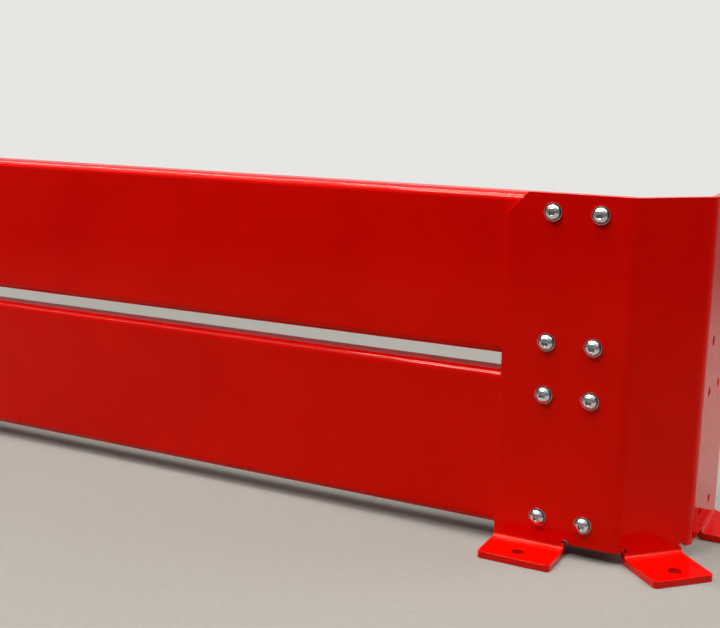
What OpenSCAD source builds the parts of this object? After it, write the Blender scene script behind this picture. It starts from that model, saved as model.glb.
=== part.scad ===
// End guard for a pallet rack: two folded corner posts that stand on the floor, joined by two
// channel beams. X runs along the beams, Y points back towards the rack and Z points up. The
// origin is on the floor, at the middle of the guard's outline.

/* [Guard] */
// Length over the outer faces of the two side plates
guard_len = 1250; // [900:10:2600]
// Height of the posts above the floor
guard_h = 400; // [300:5:600]

/* [Posts] */
// Thickness of the folded plate
plate_t = 8; // [4:0.5:12]
// Width of the front face, and of the side face, out to the sharp corner of the fold
face_w = 140; // [130:1:180]
// Leg of the corner that the slanting face cuts off
chamfer_leg = 67; // [62:1:100]
// Inner radius of the two upright folds
fold_r = 10; // [4:1:20]
// Cut across the free top corner of the front face, and of the side face
corner_cut = 23; // [5:1:30]
// Rise of the plate's lower edge above the top of the feet's folds
edge_rise = 1; // [0.5:0.5:10]
// Width of the relief notch beside each foot
relief_w = 7; // [3:0.5:10]
// Height of the relief notch above the plate's lower edge
relief_rise = 5; // [4:0.5:12]

/* [Feet] */
// Width of the front foot, and of the side foot
foot_w = 83; // [60:1:105]
// Width of the foot under the slanting face
chamfer_foot_w = 72; // [50:1:76]
// Reach of the front foot, and of the side foot, from the face that it is folded from
foot_reach = 52; // [36:1:80]
// Reach of the foot under the slanting face
chamfer_foot_reach = 62; // [36:1:90]
// Inner radius of the fold between a face and its foot
foot_fold_r = 5; // [3:0.5:6]
// Radius of a foot's outer corners
foot_corner_r = 5; // [2:0.5:9]
// Diameter of the anchor hole in a foot
anchor_hole_d = 15; // [10:0.5:18]
// Distance of the anchor hole from the outer edge of the front foot, and of the side foot
anchor_inset = 20; // [14:0.5:21]
// Distance of the anchor hole from the outer edge of the foot under the slanting face
chamfer_anchor_inset = 20; // [14:0.5:24]

/* [Beams] */
// Drop from the posts' top to the upper beam's top
beam_drop = 2.5; // [0:0.5:10]
// Depth of a beam, from its web's front to the flanges' rear edges
beam_depth = 30; // [20:1:45]
// Thickness of a beam's sheet
beam_t = 4; // [2:0.5:5]
// Inner radius of a beam's folds
beam_fold_r = 6; // [2:0.5:7]
// Height of the lower beam above the floor
beam_lift = 18; // [14:0.5:40]
// Slot between the two beams
beam_gap = 19; // [10:0.5:40]
// Space between a beam's end and the start of the post's fold
beam_end_gap = 3; // [1:0.5:10]

/* [Screw holes] */
// Diameter of the screw holes
screw_hole_d = 11; // [8:0.5:14]
// Distance of the first column of holes from the post's free edge
column_inset = 51; // [35:1:55]
// Distance between the two columns of holes
column_pitch = 51.5; // [30:0.5:55]
// Distance of a beam's lower row of holes from its lower edge
low_row_inset = 22; // [17:0.5:40]
// Distance of a beam's upper row of holes from its upper edge
high_row_inset = 17.5; // [17:0.5:40]

/* [Hidden] */
$fn = 96;
coat_red = [0.76, 0.03, 0.02];
eps = 0.5;
hair = 0.02;
neck_rise = 3;
ground_gap = plate_t + foot_fold_r + edge_rise;

// The post's plan: three faces, each turned 45 degrees from the one before
turn = 45;
fold_out_r = fold_r + plate_t;
fold_trim = fold_out_r * tan(turn / 2);
fold_steps = 9;
chamfer_w = chamfer_leg * sqrt(2);
post_w = face_w + chamfer_leg;
FOLD_CENTRES = [[face_w - fold_trim, fold_out_r], [post_w - fold_out_r, chamfer_leg + fold_trim]];
FACE_STARTS = [[0, 0], [face_w, 0], [post_w, chamfer_leg]];
FRONT = 0;
CHAMFER = 1;
SIDE = 2;

// Feet: face, distance from the start of the face, width, reach and anchor hole's inset
FEET = [
    [FRONT, 0, foot_w, foot_reach, anchor_inset],
    [CHAMFER, (chamfer_w - chamfer_foot_w) / 2, chamfer_foot_w, chamfer_foot_reach, chamfer_anchor_inset],
    [SIDE, face_w - foot_w, foot_w, foot_reach, anchor_inset]
];

// Relief notches, each with its middle on the side edge of a foot: face, and distance from its start
RELIEFS = [
    [FRONT, foot_w],
    [CHAMFER, (chamfer_w - chamfer_foot_w) / 2],
    [CHAMFER, (chamfer_w + chamfer_foot_w) / 2],
    [SIDE, face_w - foot_w]
];

// Places in the guard
front_y = (foot_reach - post_w) / 2;
post_x = guard_len / 2 - post_w;
beam_len = 2 * (post_x + face_w - fold_trim - beam_end_gap);
beam_h = (guard_h - beam_drop - beam_lift - beam_gap) / 2;
BEAM_BOTTOMS = [beam_lift, beam_lift + beam_h + beam_gap];
LOWER = 0;
UPPER = 1;
beam_fold_out_r = beam_fold_r + beam_t;

// Columns count from the free edge of a face, and rows from the floor
COLUMNS = [column_inset, column_inset + column_pitch];
BEAM_ROWS = [low_row_inset, beam_h - high_row_inset];
ROWS = [for (bottom = BEAM_BOTTOMS, row = BEAM_ROWS) bottom + row];

// Bent strip of sheet: it turns about Z from +X by the angle, and stands w high
module fold(inner_r, sheet_t, w, angle) {
    rotate_extrude(angle = angle)
        translate([inner_r, 0])
            square([sheet_t, w]);
}

// Puts its children on one face of the post: X along the face, Y into the plate, Z up
module on_face(face) {
    translate([FACE_STARTS[face][0], FACE_STARTS[face][1], 0])
        rotate([0, 0, face * turn])
            children();
}

// Hole through the plate or sheet whose outer face is at Y = 0
module wall_hole(x, z, d, wall_t) {
    translate([x, -eps, z])
        rotate([-90, 0, 0])
            cylinder(d = d, h = wall_t + 2 * eps);
}

// Points of an arc about a centre, from one angle to another
function arc(centre, r, from, to) =
    [for (i = [0:fold_steps]) let (a = from + (to - from) * i / fold_steps) centre + r * [cos(a), sin(a)]];

// Plan of one side of the folded plate, from the front face's free edge to the side face's
function plate_line(depth) = concat(
    [[0, depth]],
    arc(FOLD_CENTRES[0], fold_out_r - depth, -90, -90 + turn),
    arc(FOLD_CENTRES[1], fold_out_r - depth, -90 + turn, 0),
    [[post_w - depth, post_w]]
);

function reversed(list) = [for (i = [len(list) - 1:-1:0]) list[i]];

// The three upright faces and the two folds between them, down to the lower edge
module folded_wall() {
    translate([0, 0, ground_gap])
        linear_extrude(guard_h - ground_gap)
            polygon(concat(plate_line(0), reversed(plate_line(plate_t))));
}

// Flat part of a foot, with rounded outer corners; Y = 0 is its outer edge
module foot_pad(w, len) {
    translate([0, foot_corner_r, 0])
        cube([w, len - foot_corner_r, plate_t]);
    translate([foot_corner_r, 0, 0])
        cube([w - 2 * foot_corner_r, len, plate_t]);
    for (x = [foot_corner_r, w - foot_corner_r]) {
        translate([x, foot_corner_r, 0])
            cylinder(r = foot_corner_r, h = plate_t);
    }
}

// Foot folded outwards from the lower edge of a face, with its anchor hole. Its neck runs up inside
// the wall, thinner by a hair on both sides, so that the two join cleanly at any angle.
module foot(w, reach, hole_inset) {
    fold_top = foot_fold_r + plate_t;
    translate([0, hair, fold_top])
        cube([w, plate_t - 2 * hair, edge_rise + neck_rise]);
    translate([0, -foot_fold_r, fold_top])
        rotate([0, 90, 0])
            fold(foot_fold_r, plate_t, w, 90);
    difference() {
        translate([0, -reach, 0])
            foot_pad(w, reach - foot_fold_r);
        translate([w / 2, hole_inset - reach, -eps])
            cylinder(d = anchor_hole_d, h = plate_t + 2 * eps);
    }
}

// Notch that lets a foot fold without tearing the plate: straight sides and a round top. X = 0 is its
// middle, and it starts just under the plate's lower edge.
module relief() {
    rise = max(relief_rise - relief_w / 2, 0);
    bottom = ground_gap - edge_rise / 2;
    translate([-relief_w / 2, -eps, bottom])
        cube([relief_w, plate_t + 2 * eps, ground_gap + rise - bottom]);
    intersection() {
        wall_hole(0, ground_gap + rise, relief_w, plate_t);
        translate([-relief_w, -2 * eps, ground_gap + rise - hair])
            cube([2 * relief_w, plate_t + 4 * eps, relief_w]);
    }
}

// Wedge that takes off the top corner at the start of a face
module top_corner_cut() {
    side = corner_cut * sqrt(2);
    translate([0, plate_t / 2, guard_h])
        rotate([0, 45, 0])
            cube([side, plate_t + 2 * eps, side], center = true);
}

// Whole post, for the right-hand end; the front face's free edge is at X = 0
module post() {
    difference() {
        union() {
            folded_wall();
            for (f = FEET) {
                on_face(f[0])
                    translate([f[1], 0, 0])
                        foot(f[2], f[3], f[4]);
            }
        }
        for (r = RELIEFS) {
            on_face(r[0])
                translate([r[1], 0, 0])
                    relief();
        }
        on_face(FRONT)
            top_corner_cut();
        on_face(SIDE)
            translate([face_w, 0, 0])
                top_corner_cut();
        for (x = COLUMNS, z = ROWS) {
            on_face(FRONT)
                wall_hole(x, z, screw_hole_d, plate_t);
            on_face(SIDE)
                wall_hole(face_w - x, z, screw_hole_d, plate_t);
        }
    }
}

// Channel beam with its web in front and both flanges pointing back
module channel(len) {
    translate([0, 0, beam_fold_out_r])
        cube([len, beam_t, beam_h - 2 * beam_fold_out_r]);
    for (up = [0, 1]) {
        translate([0, 0, up * beam_h])
            mirror([0, 0, up]) {
                translate([0, beam_fold_out_r, 0])
                    cube([len, beam_depth - beam_fold_out_r, beam_t]);
                translate([0, beam_fold_out_r, beam_fold_out_r])
                    mirror([0, 1, 0])
                        rotate([0, 90, 0])
                            fold(beam_fold_r, beam_t, len, 90);
            }
    }
}

// Beam number LOWER or UPPER, in its place behind the posts' front faces
module beam(which) {
    bottom = BEAM_BOTTOMS[which];
    translate([0, front_y + plate_t, 0])
        difference() {
            translate([-beam_len / 2, 0, bottom])
                channel(beam_len);
            for (side = [-1, 1], x = COLUMNS, row = BEAM_ROWS) {
                wall_hole(side * (post_x + x), bottom + row, screw_hole_d, beam_t);
            }
        }
}

module upper_beam() {
    color(coat_red)
        beam(UPPER);
}

module lower_beam() {
    color(coat_red)
        beam(LOWER);
}

module right_post() {
    color(coat_red)
        translate([post_x, front_y, 0])
            post();
}

// The same post serves both ends: a quarter turn brings its side face to the front
module left_post() {
    color(coat_red)
        translate([-guard_len / 2, front_y + post_w, 0])
            rotate([0, 0, -90])
                post();
}

upper_beam();
lower_beam();
right_post();
left_post();
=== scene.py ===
# %% [markdown]
# # Guard for the end of a pallet rack
#
# The real object is four pieces of folded steel, powder-coated a glossy red: two corner posts that
# stand on the floor on three feet each, and two channel beams between them. Sixteen zinc-plated screws
# hold the beams to the backs of the posts.
#
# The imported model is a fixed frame. This script loads it, takes the place of each piece from it, and
# dresses each piece over the node that it stands for. The sizes that the folds and the screws need are
# written again below, with the model's own values.

import math

import bmesh
import bpy
import numpy as np
from mathutils import Matrix, Vector
from mathutils.geometry import delaunay_2d_cdt


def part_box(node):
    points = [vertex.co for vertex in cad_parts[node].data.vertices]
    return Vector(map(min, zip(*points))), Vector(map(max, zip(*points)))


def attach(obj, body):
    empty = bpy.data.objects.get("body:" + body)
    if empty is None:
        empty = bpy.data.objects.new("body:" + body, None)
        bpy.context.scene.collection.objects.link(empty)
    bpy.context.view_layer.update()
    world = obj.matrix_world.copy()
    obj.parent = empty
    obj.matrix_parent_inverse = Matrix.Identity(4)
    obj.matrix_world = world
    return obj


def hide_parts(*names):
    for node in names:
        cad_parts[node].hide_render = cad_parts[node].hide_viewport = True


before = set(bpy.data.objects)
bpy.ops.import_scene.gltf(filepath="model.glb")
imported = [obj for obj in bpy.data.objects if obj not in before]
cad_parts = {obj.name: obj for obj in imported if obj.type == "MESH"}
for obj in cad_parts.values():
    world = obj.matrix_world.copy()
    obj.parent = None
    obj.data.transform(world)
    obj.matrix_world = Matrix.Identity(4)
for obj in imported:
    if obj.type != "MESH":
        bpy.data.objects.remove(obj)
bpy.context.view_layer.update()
print("nodes:", sorted(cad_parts))

# %% [markdown]
# ## The camera
#
# The camera comes first, and stands where the photograph was taken. Its place, tilt
# and lens were worked out from the corners, holes and screw heads that the photograph shows, in the
# model's own frame. A camera looks along its own -Z, so its three axes are written as the columns of a
# rotation. The photograph's middle is the picture's middle, so no shift is needed.

# %% Camera at the photograph's viewpoint
MM = 0.001
eye = Vector((838.81, -1233.09, 510.48)) * MM
yaw, pitch, roll = 0.47686, 0.20129, 0.01836
lens_in_pixels, picture_w = 1137.11, 720

ahead = Vector((-math.sin(yaw) * math.cos(pitch), math.cos(yaw) * math.cos(pitch), -math.sin(pitch)))
level = Vector((math.cos(yaw), math.sin(yaw), 0))
upright = level.cross(ahead)
right = level * math.cos(roll) + upright * math.sin(roll)
up = upright * math.cos(roll) - level * math.sin(roll)

camera_data = bpy.data.cameras.new("camera")
camera_data.sensor_fit = "HORIZONTAL"
camera_data.sensor_width = 36
camera_data.lens = lens_in_pixels / picture_w * camera_data.sensor_width
camera_data.clip_end = 100
camera = bpy.data.objects.new("camera", camera_data)
bpy.context.scene.collection.objects.link(camera)
camera.matrix_world = Matrix.Translation(eye) @ Matrix((right, up, -ahead)).transposed().to_4x4()
bpy.context.scene.camera = camera
bpy.context.scene.view_settings.view_transform = "Standard"
print("lens %.2f mm, looking along" % camera_data.lens, [round(v, 3) for v in ahead])

# %% [markdown]
# ## Writing node trees as sums
#
# Shader and geometry trees are easier to read as expressions than as boxes and wires. `Wire` is one
# output of a node, and its operators add Math nodes. `Tree.node` adds any other node from its type, its
# settings and what goes into its sockets. Vectors and colours have their own two helpers, because a
# Math node keeps only one number of them.

# %% Wires and trees
class Wire:
    def __init__(self, tree, socket):
        self.tree, self.socket = tree, socket

    def maths(self, operation, *others):
        return self.tree.node("ShaderNodeMath", {"operation": operation}, dict(enumerate((self,) + others)))

    def __add__(self, other): return self.maths("ADD", other)
    def __sub__(self, other): return self.maths("SUBTRACT", other)
    def __rsub__(self, other): return (self * -1).maths("ADD", other)
    def __mul__(self, other): return self.maths("MULTIPLY", other)
    def __truediv__(self, other): return self.maths("DIVIDE", other)
    def __pow__(self, other): return self.maths("POWER", other)

    def between(self, low, high):
        """0 up to low, 1 from high on, and a smooth rise between them"""
        return self.tree.node("ShaderNodeMapRange", {"interpolation_type": "SMOOTHSTEP"},
                              {"Value": self, "From Min": low, "From Max": high})


class Tree:
    def __init__(self, node_tree):
        self.made = node_tree

    def node(self, kind, settings=None, sockets=None, out=0):
        """Adds a node, and gives the wire from its output number out where it has one"""
        added = self.made.nodes.new(kind)
        for name, value in (settings or {}).items():
            setattr(added, name, value)
        for name, value in (sockets or {}).items():
            if isinstance(value, Wire):
                self.made.links.new(value.socket, added.inputs[name])
            else:
                added.inputs[name].default_value = value
        return Wire(self, added.outputs[out]) if len(added.outputs) else None

    def output(self, wire, name):
        """Another output of the node that a wire comes from"""
        return Wire(self, wire.socket.node.outputs[name])

    def vector(self, operation, *values):
        return self.node("ShaderNodeVectorMath", {"operation": operation}, dict(enumerate(values)))

    def blend(self, amount, low, high):
        """Mixes two colours, which a Mix node takes on its inputs 6 and 7 and gives on its output 2"""
        return self.node("ShaderNodeMix", {"data_type": "RGBA"}, {0: amount, 6: low, 7: high}, out=2)


def new_material(name):
    material = bpy.data.materials.new(name)
    material.use_nodes = True
    material.node_tree.nodes.clear()
    return material, Tree(material.node_tree)


print("helpers ready: Wire and Tree")

# %% [markdown]
# ## Folded steel from a flat blank
#
# A press brake makes these pieces from flat plate: the outline, the notches and the holes are cut while
# it is flat, and then it is folded. The mesh is made in the same way. The outline is a list of corners
# with a radius each, every edge is eased by a fraction of a millimetre as cutting and coating leave it,
# and a fold only says where a point of the blank ends up. That gives round folds, crisp but not sharp
# edges, and exact normals, which a bevel modifier on folded geometry can't promise.

# %% Outlines of the blank
EASE, EASE_STEPS = 0.6, 3         # radius that the coating leaves along every cut edge, in mm
CORNER_STEP = math.radians(15)
HOLE_STEPS = 36
SAME, WELDED = 1e-6, 1e-7         # points nearer than this are one: along an outline, and in the filling


def rounded(corners):
    """Counter-clockwise outline through corners (s, w, radius): points, and normals off the plate"""
    points, normals = [], []
    spots = [np.array(c[:2], float) for c in corners]
    for i, corner in enumerate(corners):
        here = spots[i]
        came, goes = here - spots[i - 1], spots[(i + 1) % len(spots)] - here
        came, goes = came / np.linalg.norm(came), goes / np.linalg.norm(goes)
        turn = math.atan2(came[0] * goes[1] - came[1] * goes[0], came @ goes)
        off = np.array([came[1], -came[0]])
        bow = math.copysign(corner[2], turn)
        centre = here - came * abs(corner[2] * math.tan(turn / 2)) - off * bow
        steps = max(2, math.ceil(abs(turn) / CORNER_STEP))
        for k in range(steps + 1):
            cos, sin = math.cos(turn * k / steps), math.sin(turn * k / steps)
            n = np.array([off[0] * cos - off[1] * sin, off[0] * sin + off[1] * cos])
            if not points or np.linalg.norm(centre + n * bow - points[-1]) > SAME:
                points.append(centre + n * bow)
                normals.append(n)
    return np.array(points), np.array(normals)


def round_hole(s, w, d):
    """Outline of a hole: clockwise, so that its normals point off the plate as well"""
    a = -np.arange(HOLE_STEPS) * 2 * np.pi / HOLE_STEPS
    way = np.stack([np.cos(a), np.sin(a)], 1)
    return np.array([s, w]) + way * d / 2, -way


def split_at(points, normals, folds):
    """Adds a point wherever the outline crosses a fold line (axis, value)"""
    for axis, value in folds:
        new_p, new_n = [], []
        for i in range(len(points)):
            p, q = points[i], points[(i + 1) % len(points)]
            new_p.append(p)
            new_n.append(normals[i])
            low, high = sorted((p[axis], q[axis]))
            if low < value - SAME and high > value + SAME:
                t = (value - p[axis]) / (q[axis] - p[axis])
                n = normals[i] * (1 - t) + normals[(i + 1) % len(points)] * t
                new_p.append(p + (q - p) * t)
                new_n.append(n / np.linalg.norm(n))
        points, normals = np.array(new_p), np.array(new_n)
    return points, normals


print("blank tools ready, edges eased by", EASE, "mm")


# %% From the flat blank to a closed mesh
RIM_RUBBED = 0.7                  # how rubbed the coat is on a cut edge; 1 is the most


def folded_mesh(name, outline, holes, folds, thickness, place, rubbed_at):
    """Fills and folds a blank.

    place(s, w, depth) gives a point's place, and the plate's normal, along and up directions there.
    rubbed_at(w) says how rubbed the coat is along the folds.
    """
    loops = [split_at(*outline, folds)] + list(holes)
    flat = np.vstack([p - n * EASE for p, n in loops])
    edges, starts, base = [], [], 0
    for p, n in loops:
        edges += [(base + i, base + (i + 1) % len(p)) for i in range(len(p))]
        starts.append(base)
        base += len(p)
    rim = loops[0][0]
    for axis, value in folds:
        on_line = [i for i in range(len(rim)) if abs(rim[i][axis] - value) < SAME]
        on_line.sort(key=lambda i: rim[i][1 - axis])
        edges += [(a, b) for a, b in zip(on_line[::2], on_line[1::2])]
    found = delaunay_2d_cdt([Vector(v) for v in flat], edges, [], 0, WELDED)
    origin = [ids[0] for ids in found[3]]
    inside = []
    for triangle in found[2]:
        ids = [origin[i] for i in triangle]
        middle = flat[ids].mean(0)
        winding = 0
        for start, (p, n) in zip(starts, loops):
            ring = flat[start:start + len(p)]
            after = np.roll(ring, -1, 0)
            span = (ring[:, 1] <= middle[1]) != (after[:, 1] <= middle[1])
            share = (middle[1] - ring[span, 1]) / (after[span, 1] - ring[span, 1])
            cross = ring[span, 0] + share * (after[span, 0] - ring[span, 0])
            winding += int((cross > middle[0]).sum())
        if winding % 2:
            inside.append(ids)

    # every outline point becomes a row of points around the eased edge, from the front to the back
    points = np.vstack([p for p, n in loops])
    normals = np.vstack([n for p, n in loops])
    angles = np.linspace(0, np.pi / 2, EASE_STEPS + 1)
    rows = [(a, EASE * (1 - math.cos(a)), 1) for a in angles]
    rows += [(a, thickness - EASE * (1 - math.cos(a)), -1) for a in angles[::-1]]
    count, across = len(points), len(rows)
    where, facing = np.zeros((across, count, 3)), np.zeros((across, count, 3))
    for k, (a, depth, face) in enumerate(rows):
        at = points - normals * EASE * (1 - math.sin(a))
        spot, front, along, upward = place(at[:, 0], at[:, 1], depth)
        where[k] = spot
        rim_normal = along * normals[:, :1] + upward * normals[:, 1:]
        facing[k] = front * face * math.cos(a) + rim_normal * math.sin(a)
    faces = []
    for ids in inside:
        faces.append(tuple(ids))
        faces.append(tuple(i + (across - 1) * count for i in reversed(ids)))
    for start, (p, n) in zip(starts, loops):
        for i in range(len(p)):
            j = start + (i + 1) % len(p)
            for k in range(across - 1):
                row, after = k * count, (k + 1) * count
                faces.append((start + i + row, start + i + after, j + after, j + row))
    mesh = bpy.data.meshes.new(name)
    mesh.from_pydata((where.reshape(-1, 3) * MM).tolist(), [], faces)
    mesh.validate()
    for polygon in mesh.polygons:
        polygon.use_smooth = True
    mesh.normals_split_custom_set_from_vertices(facing.reshape(-1, 3).tolist())
    rubbed = mesh.attributes.new("rubbed", "FLOAT", "POINT")
    on_rim = np.array([math.sin(a) for a, depth, face in rows])[:, None] * RIM_RUBBED
    worn = np.maximum(on_rim, rubbed_at(points[:, 1])[None, :])
    rubbed.data.foreach_set("value", worn.ravel().astype(np.float32))
    piece = bpy.data.objects.new(name, mesh)
    bpy.context.scene.collection.objects.link(piece)
    print("%s: %d points, %d faces" % (name, len(mesh.vertices), len(mesh.polygons)))
    return piece


# %% [markdown]
# ## The corner post
#
# A post is one plate of 8 mm with two upright folds of 45 degrees, so that it shows a front face, a
# slanting face and a side face. From the lower edge of each face a foot is folded outwards, and a round
# notch beside each foot lets the plate bend there without tearing. All of it is one blank, so the
# post is one closed mesh. Its places come from the node's own box and the few sizes below.

# %% Sizes of the post, in mm
PLATE = 8
FACE, SLANT_LEG, GUARD_H = 140, 67, 400
FOLD_IN, FOOT_IN = 10, 5                                # inner radius of an upright fold, and of a foot's
FOLD_OUT, FOOT_OUT = FOLD_IN + PLATE, FOOT_IN + PLATE
CORNER_CUT, CUT_R = 23, 1                               # the cut-off corner, and the radius of cut corners
EDGE_RISE, NOTCH_RISE = 1, 5
LOWER_EDGE = FOOT_OUT + EDGE_RISE
NOTCH, NOTCH_TOP = 7, LOWER_EDGE + NOTCH_RISE
ROOT_R, NICK_R = 0.8, 0.4                               # small radii at the foot of a notch
FOOT, SLANT_FOOT, FOOT_R = 83, 72, 5
REACH, SLANT_REACH = 52, 62
ANCHOR_D, ANCHOR_IN = 15, 20
SCREW_D = 11
FIRST_COLUMN, COLUMN_PITCH = 51, 51.5
COLUMNS = (FIRST_COLUMN, FIRST_COLUMN + COLUMN_PITCH)
LOWER_BEAM, UPPER_BEAM, BEAM_H = 18, 217.25, 180.25
LOW_ROW, HIGH_ROW = 22, 17.5                            # from a beam's lower edge, and from its upper one
BEAM_ROWS = (LOW_ROW, BEAM_H - HIGH_ROW)
ROWS = [bottom + row for bottom in (LOWER_BEAM, UPPER_BEAM) for row in BEAM_ROWS]

low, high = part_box("right_post")
front_y = low.y / MM + REACH
post_x = low.x / MM
post_w = FACE + SLANT_LEG
half_len = post_x + post_w
print("front plane Y %.1f, right post from X %.1f, side plane X %.1f" % (front_y, post_x, half_len))

# %% The post's blank
trim = FOLD_OUT * math.tan(math.pi / 8)                 # from a sharp corner to where its fold starts
arc = (FOLD_OUT - PLATE / 2) * math.pi / 4              # length of a fold along the plate's middle
foot_arc = (FOOT_IN + PLATE / 2) * math.pi / 2
slant = SLANT_LEG * math.sqrt(2)
fold_1 = FACE - trim
slant_s = fold_1 + arc - trim                           # where the slanting face's sharp corner would be
fold_2 = slant_s + slant - trim
side_s = fold_2 + arc - trim
blank_len = side_s + FACE


def foot_end(reach):
    return FOOT_OUT - foot_arc - (reach - FOOT_IN)


def notch(s, opens):
    """Corners of the notch with its middle at s; opens is 1 where the foot is before it, -1 where after"""
    half, root = NOTCH / 2, FOOT_OUT + ROOT_R
    tops = [(s - half, NOTCH_TOP, half), (s + half, NOTCH_TOP, half)]
    if opens > 0:
        return [(s, root, ROOT_R), (s - half, root, NICK_R)] + tops + [(s + half, LOWER_EDGE, ROOT_R)]
    return [(s - half, LOWER_EDGE, ROOT_R)] + tops + [(s + half, root, NICK_R), (s, root, ROOT_R)]


def foot_corners(start, end, reach):
    """The two outer corners of a foot between two places along the blank"""
    return [(start, foot_end(reach), FOOT_R), (end, foot_end(reach), FOOT_R)]


left_s, right_s = slant_s + (slant - SLANT_FOOT) / 2, slant_s + (slant + SLANT_FOOT) / 2
third_s = blank_len - FOOT
blank = foot_corners(0, FOOT, REACH) + notch(FOOT, 1)
blank += notch(left_s, -1) + foot_corners(left_s, right_s, SLANT_REACH) + notch(right_s, 1)
blank += notch(third_s, -1) + foot_corners(third_s, blank_len, REACH)
blank += [(blank_len, GUARD_H - CORNER_CUT, CUT_R), (blank_len - CORNER_CUT, GUARD_H, CUT_R),
          (CORNER_CUT, GUARD_H, CUT_R), (0, GUARD_H - CORNER_CUT, CUT_R)]
post_holes = [round_hole(x, z, SCREW_D) for x in COLUMNS for z in ROWS]
post_holes += [round_hole(blank_len - x, z, SCREW_D) for x in COLUMNS for z in ROWS]
middles = (FOOT / 2, (left_s + right_s) / 2, blank_len - FOOT / 2)
for middle, reach in zip(middles, (REACH, SLANT_REACH, REACH)):
    post_holes.append(round_hole(middle, foot_end(reach) + ANCHOR_IN, ANCHOR_D))
FOLD_LINES, FOOT_FOLD_LINES = 13, 17                    # lines that one fold is bent along
post_folds = [(0, s) for start in (fold_1, fold_2) for s in np.linspace(start, start + arc, FOLD_LINES)]
post_folds += [(1, w) for w in np.linspace(FOOT_OUT - foot_arc, FOOT_OUT, FOOT_FOLD_LINES)]
print("blank %.1f mm long, %d corners, %d holes" % (blank_len, len(blank), len(post_holes)))


# %% How the post folds
def fold_post(s, w, depth):
    """Place of a point of the post's blank: first a foot's fold, then the two upright ones"""
    theta = np.clip((FOOT_OUT - w) / foot_arc, 0, 1) * np.pi / 2
    beyond = np.maximum(FOOT_OUT - foot_arc - w, 0)
    into = -FOOT_IN + (FOOT_IN + depth) * np.cos(theta) - beyond        # into the plate, from the face
    z = np.where(w > FOOT_OUT, w, FOOT_OUT - (FOOT_IN + depth) * np.sin(theta))
    along_1 = np.clip((s - fold_1) / arc, 0, 1) * np.pi / 4
    along_2 = np.clip((s - fold_2) / arc, 0, 1) * np.pi / 4
    turn = along_1 + along_2
    c1, c2 = np.array([fold_1, FOLD_OUT]), np.array([post_w - FOLD_OUT, SLANT_LEG + trim])
    way = np.stack([np.cos(turn), np.sin(turn)], -1)
    inward = np.stack([-np.sin(turn), np.cos(turn)], -1)
    on_1, on_2 = (s > fold_1) & (s <= fold_1 + arc), (s > fold_2) & (s <= fold_2 + arc)
    second = np.where((s <= fold_2)[:, None], [FACE, 0.0], [post_w, SLANT_LEG])
    start = np.where((s <= fold_1)[:, None], [0.0, 0.0], second)
    run = np.where(s <= fold_1, s, np.where(s <= fold_2, s - slant_s, s - side_s))
    plan = start + way * run[:, None] + inward * into[:, None]
    plan = np.where(on_1[:, None], c1 - inward * (FOLD_OUT - into)[:, None], plan)
    plan = np.where(on_2[:, None], c2 - inward * (FOLD_OUT - into)[:, None], plan)
    spot = np.column_stack([plan, z])
    front = np.column_stack([-inward * np.cos(theta)[:, None], np.sin(theta)])
    along = np.column_stack([way, np.zeros_like(s)])
    upward = np.column_stack([inward * np.sin(theta)[:, None], np.cos(theta)])
    return spot, front, along, upward


FOOT_RUBBED = 0.3                                       # 1 is the most, as along a beam's upper fold


def post_rubbed(w):
    """How rubbed the coat is along a foot's fold; 0 on flat plate"""
    return np.sin(np.clip((FOOT_OUT - w) / foot_arc, 0, 1) * np.pi) * FOOT_RUBBED


def turned(place, turn, move):
    """The same folding, turned about Z and moved to where the piece stands"""
    cos, sin = round(math.cos(turn)), round(math.sin(turn))
    spin = np.array([[cos, sin, 0], [-sin, cos, 0], [0, 0, 1]])

    def moved(s, w, depth):
        spot, front, along, upward = place(s, w, depth)
        return spot @ spin + move, front @ spin, along @ spin, upward @ spin
    return moved


print("an upright fold takes %.1f mm of the blank, a foot's %.1f mm" % (arc, foot_arc))

# %% [markdown]
# The right-hand post stands as it was folded. The left-hand one is the same post, turned back a quarter
# turn so that its side face becomes the front: the two are equal because the blank is symmetrical.

# %% The two posts
ENDS = (("post_right", 0, (post_x, front_y, 0)),
        ("post_left", -math.pi / 2, (-half_len, front_y + post_w, 0)))
posts = []
for name, turn, move in ENDS:
    place = turned(fold_post, turn, np.array(move))
    posts.append(folded_mesh(name, rounded(blank), post_holes, post_folds, PLATE, place, post_rubbed))

# %% [markdown]
# ## The channel beams
#
# A beam is a strip of 4 mm sheet with both long edges folded back. The same blank tools make it: the
# strip lies flat, w = 0 is where the web starts above the lower fold, and everything outside the web
# turns back by a quarter. Its ends are hidden behind the posts, but they are finished the same way.

# %% The beams
SHEET, BEAM_DEPTH, BEAM_IN = 4, 30, 6
BEAM_OUT = BEAM_IN + SHEET
web = BEAM_H - 2 * BEAM_OUT
beam_arc = (BEAM_OUT - SHEET / 2) * math.pi / 2
flange = BEAM_DEPTH - BEAM_OUT
low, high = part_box("upper_beam")
beam_end = high.x / MM
web_y = low.y / MM


def fold_beam(s, w, depth, bottom):
    lower = np.clip(-w / beam_arc, 0, 1) * np.pi / 2
    upper = np.clip((w - web) / beam_arc, 0, 1) * np.pi / 2
    theta, side = lower + upper, np.where(upper > 0, 1.0, -1.0)
    beyond = np.maximum(np.maximum(-w, w - web) - beam_arc, 0)
    y = BEAM_OUT - (BEAM_OUT - depth) * np.cos(theta) + beyond
    z = np.where(theta > 0, np.where(side > 0, web, 0) + side * (BEAM_OUT - depth) * np.sin(theta), w)
    one, zero = np.ones_like(s), np.zeros_like(s)
    spot = np.column_stack([s, web_y + y, bottom + BEAM_OUT + z])
    front = np.column_stack([zero, -np.cos(theta), side * np.sin(theta)])
    along = np.column_stack([one, zero, zero])
    upward = np.column_stack([zero, side * np.sin(theta), np.cos(theta)])
    return spot, front, along, upward


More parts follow.
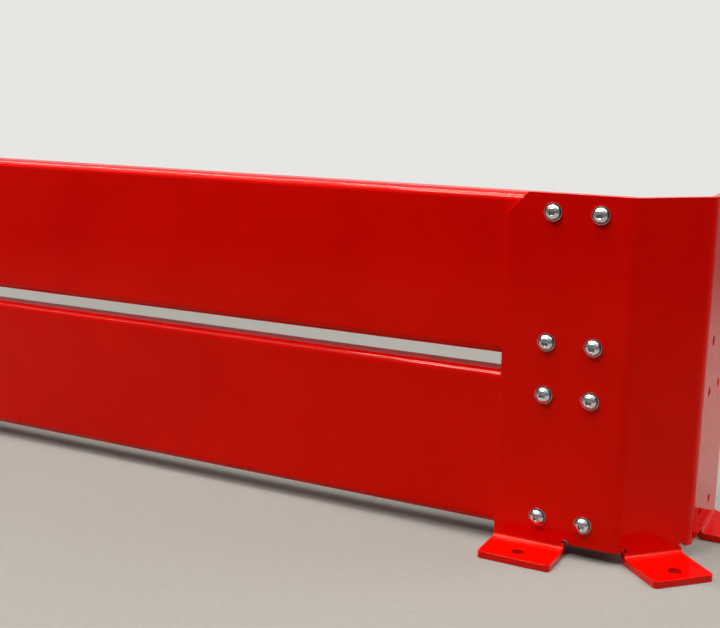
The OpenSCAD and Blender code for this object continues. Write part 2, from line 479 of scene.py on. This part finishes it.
def beam_rubbed(w):
    """1 along the upper fold, where things rub, and 0 on the rest"""
    return np.sin(np.clip((w - web) / beam_arc, 0, 1) * np.pi)


strip_low, strip_high = -beam_arc - flange, web + beam_arc + flange
strip = [(-beam_end, strip_low, CUT_R), (beam_end, strip_low, CUT_R),
         (beam_end, strip_high, CUT_R), (-beam_end, strip_high, CUT_R)]
beam_holes = [round_hole(side * (post_x + x), row - BEAM_OUT, SCREW_D)
              for side in (-1, 1) for x in COLUMNS for row in BEAM_ROWS]
beam_folds = [(1, w) for start in (-beam_arc, web) for w in np.linspace(start, start + beam_arc, FOLD_LINES)]
beams = []
for name, bottom in (("beam_upper", UPPER_BEAM), ("beam_lower", LOWER_BEAM)):
    place = lambda s, w, depth, bottom=bottom: fold_beam(s, w, depth, bottom)
    beams.append(folded_mesh(name, rounded(strip), beam_holes, beam_folds, SHEET, place, beam_rubbed))
print("beams reach X %.1f, web front at Y %.1f" % (beam_end, web_y))

# %% [markdown]
# ## Screws, washers and nuts by Geometry Nodes
#
# Sixteen equal screws, each with a washer under its head and a nut behind the beam, are what Geometry
# Nodes are for: one shape, a rule for the places, and copies. The real screws and nuts are pressed and
# the washers are stamped, but all of them are nearly round about an axis. So the tree works like a
# lathe and bends a flat grid round that axis: the grid's rows are the steps of a profile, and its
# columns are the turn. A hexagon is a profile whose radius swells six times on the way round, which
# makes the socket in the head and the nut's flats. The screws are M10 button heads, 17.5 mm across, with
# a 6 mm hexagon socket. The tree also stores a painted shade for each row of the profile, dark in the
# socket, at the head's foot and on the washer round the bore, where shade falls; the zinc reads it.

# %% A lathe made of nodes
SEAM = 0.002                      # points nearer than this are one, in mm
ROUND, SHANK_ROUND = 48, 36       # steps on the way round


def turned_solid(tree, rows, segments, profile, painted_shade=None):
    """Wraps a grid round Z.

    profile(row, angle) gives radius and height in mm, and painted_shade gives each row's painted shade, for
    the shade in the socket and at the head's foot.
    """
    grid = tree.node("GeometryNodeMeshGrid", None, {"Size X": rows - 1, "Size Y": segments,
                                                    "Vertices X": rows, "Vertices Y": segments + 1})
    place = tree.node("GeometryNodeInputPosition")
    apart = tree.node("ShaderNodeSeparateXYZ", None, {0: place})
    row = (apart + (rows - 1) / 2).maths("ROUND")
    angle = (tree.output(apart, "Y") / segments + 0.5) * (2 * math.pi)
    radius, height = profile(row, angle)
    ring = tree.node("ShaderNodeCombineXYZ", None, {
        "X": angle.maths("COSINE") * radius, "Y": angle.maths("SINE") * radius, "Z": height})
    # each row's painted shade: darkening where the socket and the head's foot lie in shade
    shade_stored = tree.node("GeometryNodeStoreNamedAttribute", {"data_type": "FLOAT", "domain": "POINT"},
                      {"Geometry": grid, "Name": "painted_shade", "Value": pick(tree, row, painted_shade or [0] * rows)})
    wrapped = tree.node("GeometryNodeSetPosition", None, {"Geometry": shade_stored, "Position": ring})
    return tree.node("GeometryNodeMergeByDistance", None, {"Geometry": wrapped, "Distance": SEAM})


def pick(tree, row, values):
    """The value for each row of a profile"""
    switch = tree.node("GeometryNodeIndexSwitch", {"data_type": "FLOAT"})
    made = switch.socket.node
    while len(made.index_switch_items) < len(values):
        made.index_switch_items.new()
    tree.made.links.new(row.socket, made.inputs[0])
    for i, value in enumerate(values):
        if isinstance(value, Wire):
            tree.made.links.new(value.socket, made.inputs[i + 1])
        else:
            made.inputs[i + 1].default_value = value
    return switch


def hexagon(angle):
    """How much further out a hexagon's side is at an angle than at the middle of its flats"""
    sixth = math.pi / 3
    return ((angle + sixth / 2).maths("FLOORED_MODULO", sixth) - sixth / 2).maths("COSINE").maths("POWER", -1)


SCREWS, SPIN_SEED = 16, 7


def copies(tree, solid, given):
    """Puts a solid at every screw hole, each with a random turn about its own axis"""
    index = tree.node("GeometryNodeInputIndex")
    side = index.maths("FLOORED_MODULO", 2) * 2 - 1
    column = (index / 2).maths("FLOOR").maths("FLOORED_MODULO", 2)
    row = (index / 4).maths("FLOOR").maths("FLOORED_MODULO", 2)
    beam = (index / 8).maths("FLOOR").maths("FLOORED_MODULO", 2)
    x = side * (given("First column") + column * given("Column pitch"))
    z = given("First row") + row * given("Row pitch") + beam * given("Beam pitch")
    spot = tree.node("ShaderNodeCombineXYZ", None, {"X": x, "Y": given("Depth"), "Z": z})
    points = tree.node("GeometryNodePoints", None, {"Count": SCREWS, "Position": spot})
    # this node takes the range of a plain number on its inputs 2 and 3, and gives it on its output 1
    spin = tree.node("FunctionNodeRandomValue", {"data_type": "FLOAT"},
                     {2: 0.0, 3: 2 * math.pi, "ID": index, "Seed": SPIN_SEED}, out=1)
    lie = tree.node("ShaderNodeCombineXYZ", None, {"X": math.pi / 2, "Y": spin, "Z": 0.0})
    placed = tree.node("GeometryNodeInstanceOnPoints", None,
                       {"Points": points, "Instance": solid, "Rotation": lie})
    scaled = tree.node("GeometryNodeTransform", None, {"Geometry": placed, "Scale": (MM, MM, MM)})
    return tree.node("GeometryNodeRealizeInstances", None, {"Geometry": scaled})


def node_made(name, sizes, build, material, sharp):
    """Builds a tree with named inputs, runs it on an empty mesh and keeps the plain result.

    An edge stays sharp where its faces meet at more than the angle sharp, in degrees.
    """
    group = bpy.data.node_groups.new(name, "GeometryNodeTree")
    group.interface.new_socket("Geometry", in_out="OUTPUT", socket_type="NodeSocketGeometry")
    ids = {}
    for label in sizes:
        added = group.interface.new_socket(label, in_out="INPUT", socket_type="NodeSocketFloat")
        ids[label] = added.identifier
    tree = Tree(group)
    entry = tree.node("NodeGroupInput")
    solid = build(tree, lambda label: tree.output(entry, label))
    finished = tree.node("GeometryNodeSetMaterial", None, {"Geometry": solid, "Material": material})
    tree.node("NodeGroupOutput", None, {"Geometry": finished})
    holder = bpy.data.objects.new(name + "_holder", bpy.data.meshes.new(name + "_holder"))
    bpy.context.scene.collection.objects.link(holder)
    modifier = holder.modifiers.new(name, "NODES")
    modifier.node_group = group
    for label, value in sizes.items():
        modifier[ids[label]] = float(value)
    graph = bpy.context.evaluated_depsgraph_get()
    mesh = bpy.data.meshes.new_from_object(holder.evaluated_get(graph), depsgraph=graph)
    bpy.data.objects.remove(holder)
    work = bmesh.new()
    work.from_mesh(mesh)
    bmesh.ops.recalc_face_normals(work, faces=work.faces)
    open_edges = sum(1 for e in work.edges if not e.is_manifold)
    work.to_mesh(mesh)
    work.free()
    mesh.name = name
    for polygon in mesh.polygons:
        polygon.use_smooth = True
    mesh.set_sharp_from_angle(angle=math.radians(sharp))
    piece = bpy.data.objects.new(name, mesh)
    bpy.context.scene.collection.objects.link(piece)
    print("%s: %d faces, %d open edges" % (name, len(mesh.polygons), open_edges))
    return piece


print("lathe ready")

# %% Where the screws stand
places = {"First column": post_x + COLUMNS[0], "Column pitch": COLUMNS[1] - COLUMNS[0], "First row": ROWS[0],
          "Row pitch": ROWS[1] - ROWS[0], "Beam pitch": ROWS[2] - ROWS[0]}
WASHER_T, NUT_H = 2, 8.4
zinc, zinc_tree = new_material("zinc_plate")
print("screws in mm:", {label: round(value, 2) for label, value in places.items()})


# %% Button head screws
DOME_ROWS, RIM_H = 9, 1.2                               # rows of the head's dome, and its straight rim
SOCKET_TAPER, DRILL_TIP = 0.97, 0.9                     # the socket's floor, and the drill's point under it
SOCKET_BEVEL, BEVEL_OUT, CORNER_OUT = 0.35, 0.25, 1.155  # its bevel, and how far out a hexagon's corners are
CROWN_FLAT, FOOT_EASE = 0.5, 0.25                       # flat ring in the crown, and the head's eased foot
SHANK_R, PLAIN_SHANK, TIP_CHAMFER, THREAD_ROWS = 4.92, 12, 0.5, 60
# painted shade per row of the head's profile: dark in the socket and at the head's foot, where shade falls
HEAD_PAINTED_SHADE = [0.6, 0.55, 0.5, 0.1, 0] + [0] * (DOME_ROWS - 3) + [0.5, 0.95, 1] + [1, 1, 1]


def screw(tree, given):
    head_r, crown = given("Head diameter") * 0.5, given("Crown diameter") * 0.5
    across = given("Socket across flats") * 0.5
    head_h, rim_h = given("Head height"), RIM_H
    bottom = head_h - given("Socket depth")
    # the dome is part of a ball that passes through the rim and the crown
    centre = (head_r * head_r - crown * crown + rim_h * rim_h - head_h * head_h) / ((head_h * -1 + rim_h) * 2)
    ball = (head_r * head_r + (centre * -1 + rim_h) ** 2) ** 0.5
    low, high = (head_r / ball).maths("ARCSINE"), (crown / ball).maths("ARCSINE")

    def head(row, angle):
        """The rows are the socket, the dome and the foot; the socket's two rows are six-sided"""
        arc = [high + (low - high) * (k / (DOME_ROWS - 1)) for k in range(DOME_ROWS)]
        radii = [0, across * SOCKET_TAPER, across, across * CORNER_OUT + BEVEL_OUT, crown - CROWN_FLAT]
        radii += [a.maths("SINE") * ball for a in arc] + [head_r, head_r - FOOT_EASE, 0]
        heights = [bottom - DRILL_TIP, bottom, head_h - SOCKET_BEVEL, head_h, head_h]
        heights += [a.maths("COSINE") * ball + centre for a in arc] + [FOOT_EASE, 0, 0]
        six = [0, 1, 1, 0, 0] + [0] * DOME_ROWS + [0, 0, 0]
        swell = pick(tree, row, six) * (hexagon(angle) - 1) + 1
        return pick(tree, row, radii) * swell, pick(tree, row, heights)

    def shank(row, angle):
        """The rows are the closed top, the plain part, the thread, the narrower tip and the closed end"""
        pitch, length = given("Thread pitch"), given("Length")
        height = pick(tree, row.maths("MINIMUM", 2), [0, 0, -PLAIN_SHANK])
        turns = (row - 2).maths("MAXIMUM", 0) * ((length - PLAIN_SHANK) / (THREAD_ROWS - 4)) * -1
        height = (height + turns).maths("MAXIMUM", length * -1)
        wave = (height / pitch + angle / (2 * math.pi)).maths("FLOORED_MODULO", 1)
        groove = (wave * 2 - 1).maths("ABSOLUTE") * given("Thread depth")
        end = (row - (THREAD_ROWS - 3.5)).maths("GREATER_THAN", 0)
        radius = SHANK_R - groove * (row - 2.5).maths("GREATER_THAN", 0) - end * TIP_CHAMFER
        closed = (row - (THREAD_ROWS - 1.5)).maths("GREATER_THAN", 0) + (row - 0.5).maths("LESS_THAN", 0)
        return radius * (1 - closed), height

    both = tree.node("GeometryNodeJoinGeometry")
    for part in (turned_solid(tree, len(HEAD_PAINTED_SHADE), ROUND, head, HEAD_PAINTED_SHADE),
                 turned_solid(tree, THREAD_ROWS, SHANK_ROUND, shank)):
        tree.made.links.new(part.socket, both.socket.node.inputs[0])
    return copies(tree, both, given)


screw_sizes = dict(places, **{
    "Depth": front_y - WASHER_T, "Head diameter": 17.5, "Head height": 5.5, "Crown diameter": 8.2,
    "Socket across flats": 6, "Socket depth": 2.9, "Length": 25, "Thread pitch": 1.5, "Thread depth": 0.9})
screws = node_made("screws", screw_sizes, screw, zinc, 32)


# %% Washers and nuts
RIM, EASED, BORE_BEVEL = 0.7, 0.2, 0.7                  # a washer's stamped rim and eased edges, a nut's bore
NUT_SLOPE = math.tan(math.radians(30))                  # of the chamfer that cuts a nut's corners
# painted shade per row of the washer's profile: dark round the bore, in the shade under the head
WASHER_PAINTED_SHADE = [1, 1, 0.6, 0.1, 0, 0, 0.05, 0.8, 1, 1, 1]


def washer(tree, given):
    outer, bore, thick = given("Outer diameter") * 0.5, given("Bore") * 0.5, given("Thickness")

    def ring(row, angle):
        radii = [bore, bore + EASED, outer - RIM, outer - EASED, outer,
                 outer, outer - EASED, outer - RIM, bore + EASED, bore, bore]
        heights = [EASED, 0, 0, EASED, RIM,
                   thick - RIM, thick - EASED, thick, thick, thick - EASED, EASED]
        return pick(tree, row, radii), pick(tree, row, heights)
    return copies(tree, turned_solid(tree, len(WASHER_PAINTED_SHADE), ROUND, ring, WASHER_PAINTED_SHADE), given)


def nut(tree, given):
    flat, bore, circle = (given(label) * 0.5 for label in ("Across flats", "Bore", "Chamfer circle"))
    tall = given("Height")

    def ring(row, angle):
        outer = flat * hexagon(angle)
        slope = (outer - circle) * NUT_SLOPE
        radii = [bore, bore + BORE_BEVEL, circle, outer, outer, circle, bore + BORE_BEVEL, bore, bore]
        heights = [BORE_BEVEL, 0, 0, slope, tall - slope, tall, tall, tall - BORE_BEVEL, BORE_BEVEL]
        return pick(tree, row, radii), pick(tree, row, heights)
    return copies(tree, turned_solid(tree, 9, ROUND, ring), given)


washer_sizes = dict(places, **{
    "Depth": front_y, "Outer diameter": 20, "Bore": 10.5, "Thickness": WASHER_T})
washers = node_made("washers", washer_sizes, washer, zinc, 40)
nut_sizes = dict(places, **{
    "Depth": front_y + PLATE + SHEET + NUT_H, "Across flats": 16, "Bore": 9.0, "Height": NUT_H,
    "Chamfer circle": 15.4})
nuts = node_made("nuts", nut_sizes, nut, zinc, 25)

# %% [markdown]
# ## The coat
#
# Powder coat is a thick film of melted plastic: strongly coloured, glossy, and very slightly dimpled
# like orange peel. The red is in the film itself, so the shader is a plain dielectric, with a fine bump
# for the dimples and a wide, weak one for sheet that is never quite flat. Where the film ran thinner or
# thicker the red shifts a little, and handling leaves a faint haze that only changes the gloss. Seen
# straight on, this film gives back a red light and hardly any white, so the mirror colour is tinted; at
# a slant it still mirrors like glass. Folds and cut edges are rubbed smooth by use, and the attribute
# that the folding stored puts a thin clear coat there, which draws the bright line along each fold.

# %% Red powder coat
FILM, HAZE, DIMPLES, WAVES = 160, 45, 3.2, 110          # how wide the patches of each noise are, in mm
red_coat, tree = new_material("red_coat_powder")
place = tree.output(tree.node("ShaderNodeTexCoord"), "Object")


def noise(tree, place, size_mm, detail=2.0, rough=0.5):
    """Noise whose patches are about size_mm across; 0 to 1, mostly near the middle"""
    return tree.node("ShaderNodeTexNoise", None, {
        "Vector": place, "Scale": 1000.0 / size_mm, "Detail": detail, "Roughness": rough})


film = noise(tree, place, FILM, 3.0).between(0.35, 0.65)
haze = noise(tree, place, HAZE, 4.0, 0.6).between(0.5, 0.75)
colour = tree.blend(film, (0.60, 0.0010, 0.0002, 1), (0.645, 0.0018, 0.0003, 1))
gloss = haze * 0.05 + 0.08
dimples = tree.node("ShaderNodeBump", None, {
    "Height": noise(tree, place, DIMPLES, 1.0), "Strength": 0.10, "Distance": 0.0003})
bump = tree.node("ShaderNodeBump", None, {
    "Height": noise(tree, place, WAVES, 1.0), "Strength": 0.10, "Distance": 0.001, "Normal": dimples})
rubbed = tree.output(tree.node("ShaderNodeAttribute", {"attribute_name": "rubbed"}), "Fac")
surface = tree.node("ShaderNodeBsdfPrincipled", None, {
    "Base Color": colour, "Roughness": gloss, "IOR": 1.5, "Normal": bump,
    "Specular IOR Level": 0.3, "Specular Tint": (1, 0.24, 0.08, 1),
    "Coat Weight": rubbed * 0.35, "Coat Roughness": 0.06, "Coat IOR": 1.5})
tree.node("ShaderNodeOutputMaterial", None, {"Surface": surface})
for piece in posts + beams:
    piece.data.materials.append(red_coat)
print("red coat: %d nodes, on %d pieces" % (len(red_coat.node_tree.nodes), len(posts + beams)))

# %% [markdown]
# ## The zinc
#
# Zinc plate is a metal, so its colour is the colour of what it mirrors. A cloudy grey keeps it from
# looking like chrome, a small bump breaks up the mirror image as real plating does, and the painted
# shade that the lathe tree stored darkens the socket, the head's foot and the washer's face around it,
# where shade falls, and dulls the gloss there.

# %% Zinc plate
CLOUDS, PITS = 4, 2.2                                   # how wide the patches are, in mm
place = zinc_tree.output(zinc_tree.node("ShaderNodeTexCoord"), "Object")
cloud = noise(zinc_tree, place, CLOUDS, 3.0).between(0.35, 0.7)
pits = zinc_tree.node("ShaderNodeBump", None, {
    "Height": noise(zinc_tree, place, PITS, 2.0), "Strength": 0.35, "Distance": 0.0004})
# painted shade from the lathe tree: darker, duller zinc where the socket and the head's foot lie in shade
painted_shade = zinc_tree.output(zinc_tree.node("ShaderNodeAttribute", {"attribute_name": "painted_shade"}), "Fac")
clean_zinc = zinc_tree.blend(cloud, (0.80, 0.81, 0.82, 1), (0.70, 0.71, 0.73, 1))
surface = zinc_tree.node("ShaderNodeBsdfPrincipled", None, {
    "Base Color": zinc_tree.blend(painted_shade, clean_zinc, (0.06, 0.055, 0.05, 1)), "Metallic": 1.0,
    "Roughness": cloud * 0.08 + 0.10 + painted_shade * 0.2, "Normal": pits})
zinc_tree.node("ShaderNodeOutputMaterial", None, {"Surface": surface})
print("zinc: %d nodes" % len(zinc.node_tree.nodes))

# %% [markdown]
# ## Pieces and nodes
#
# The guard is rigid, so its only body is root, and every piece rides on that. A folded piece takes the
# place of the node that it was dressed over. The screws, washers and nuts have no node: they are added.

# %% Each piece stands for its node
for piece, node in zip(posts + beams, ("right_post", "left_post", "upper_beam", "lower_beam")):
    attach(piece, "root")
    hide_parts(node)
fasteners = (screws, washers, nuts)
for piece in fasteners:
    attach(piece, "root")
print("%d pieces take the place of nodes, %d are added" % (len(posts + beams), len(fasteners)))

# %% [markdown]
# ## Floor and light
#
# A hall is lit by rows of lamps under its roof, and so is this studio. The row above the guard puts a
# dark strip on the floor under the beams, the two in front of it light the front faces and leave a short
# shadow under each screw head, and the long thin one far to the left is there for the line that it draws
# along the beams' upper folds. A last row at the right lights the side face. Glossy paint is only as red
# as what it mirrors lets it be, so the studio's walls are dim near the horizon and bright overhead, with
# a pale far end behind the guard. The camera itself sees one plain pale tone everywhere.

# %% Floor
PALE = (0.80, 0.79, 0.76, 1)
FLOOR_R, FADE_FROM, FADE_TO = 7, 1.1, 2.6               # in metres; beyond FADE_TO the floor is clear
GRAIN = 6                                               # how wide the patches are, in mm
bpy.ops.mesh.primitive_circle_add(vertices=96, radius=FLOOR_R, fill_type="NGON")
floor = bpy.context.object
floor.name = "floor"
concrete, tree = new_material("pale_floor")
place = tree.output(tree.node("ShaderNodeTexCoord"), "Object")
reach = tree.output(tree.vector("LENGTH", place), "Value")
grain = noise(tree, place, GRAIN, 4.0, 0.7)
tone = tree.blend(grain, (0.212, 0.199, 0.175, 1), (0.270, 0.255, 0.226, 1))
surface = tree.node("ShaderNodeBsdfPrincipled", None, {
    "Base Color": tone, "Roughness": 0.75, "Specular IOR Level": 0.3})
clear = tree.node("ShaderNodeBsdfTransparent")
away = tree.node("ShaderNodeMixShader", None, {0: reach.between(FADE_FROM, FADE_TO), 1: surface, 2: clear})
tree.node("ShaderNodeOutputMaterial", None, {"Surface": away})
floor.data.materials.append(concrete)
print("floor fades out between %.1f and %.1f m" % (FADE_FROM, FADE_TO))

# %% World: plain and pale for the camera, bright overhead for gloss, soft grey for the rest
world = bpy.data.worlds.new("studio")
bpy.context.scene.world = world
world.use_nodes = True
world.node_tree.nodes.clear()
tree = Tree(world.node_tree)
looking = tree.output(tree.node("ShaderNodeTexCoord"), "Generated")
apart = tree.node("ShaderNodeSeparateXYZ", None, {0: looking})
to_right, to_back, to_top = (tree.output(apart, axis) for axis in "XYZ")
lit = to_top.between(0.25, 0.85)
# soft light falls in from overhead, except from the right in front, where the slanting face looks
but_right_front = 1 - to_right.between(-0.5, 0.5) * (1 - to_back.between(-0.5, 0.5))
rays = tree.node("ShaderNodeLightPath")
seen, mirrored = tree.output(rays, "Is Camera Ray"), tree.output(rays, "Is Glossy Ray")
far_end = to_back.between(0.3, 0.8) * to_top.between(-0.04, 0.06) * (1 - to_top.between(0.10, 0.20))
gloss_tone = tree.blend(lit + far_end * 0.75, (0.16, 0.16, 0.16, 1), (0.62, 0.62, 0.61, 1))
matt_tone = tree.blend(lit * but_right_front, (0.04, 0.04, 0.04, 1), (0.36, 0.36, 0.36, 1))
tone = tree.blend(seen, tree.blend(mirrored, matt_tone, gloss_tone), PALE)
background = tree.node("ShaderNodeBackground", None, {"Color": tone, "Strength": 1.0})
tree.node("ShaderNodeOutputWorld", None, {"Surface": background})
print("world: %d nodes" % len(world.node_tree.nodes))


# %% Rows of lamps
def soft_lamp(name, at, towards, size, power):
    """A rectangle of light; places and sizes are in metres, power in watts"""
    data = bpy.data.lights.new(name, "AREA")
    data.shape, data.size, data.size_y, data.energy = "RECTANGLE", size[0], size[1], power
    lamp = bpy.data.objects.new(name, data)
    bpy.context.scene.collection.objects.link(lamp)
    aim = (Vector(towards) - Vector(at)).to_track_quat("-Z", "Y")
    lamp.matrix_world = Matrix.Translation(at) @ aim.to_matrix().to_4x4()
    print("%s: %d W" % (name, power))


soft_lamp("front_row", (-0.3, -1.75, 2.8), (-0.3, 0, 0.2), (1.6, 0.40), 52)
soft_lamp("far_row", (-2.3, -1.75, 2.8), (-2.3, 0, 0.2), (4.4, 0.12), 15)
soft_lamp("middle_row", (-0.1, -0.8, 3.3), (-0.1, -0.3, 0), (2.6, 0.35), 50)
soft_lamp("over_row", (0.2, -0.09, 3.4), (0.2, -0.09, 0), (8.4, 0.14), 185)
soft_lamp("right_row", (3.0, 1.6, 2.4), (0.6, 0, 0.2), (1.6, 0.5), 55)
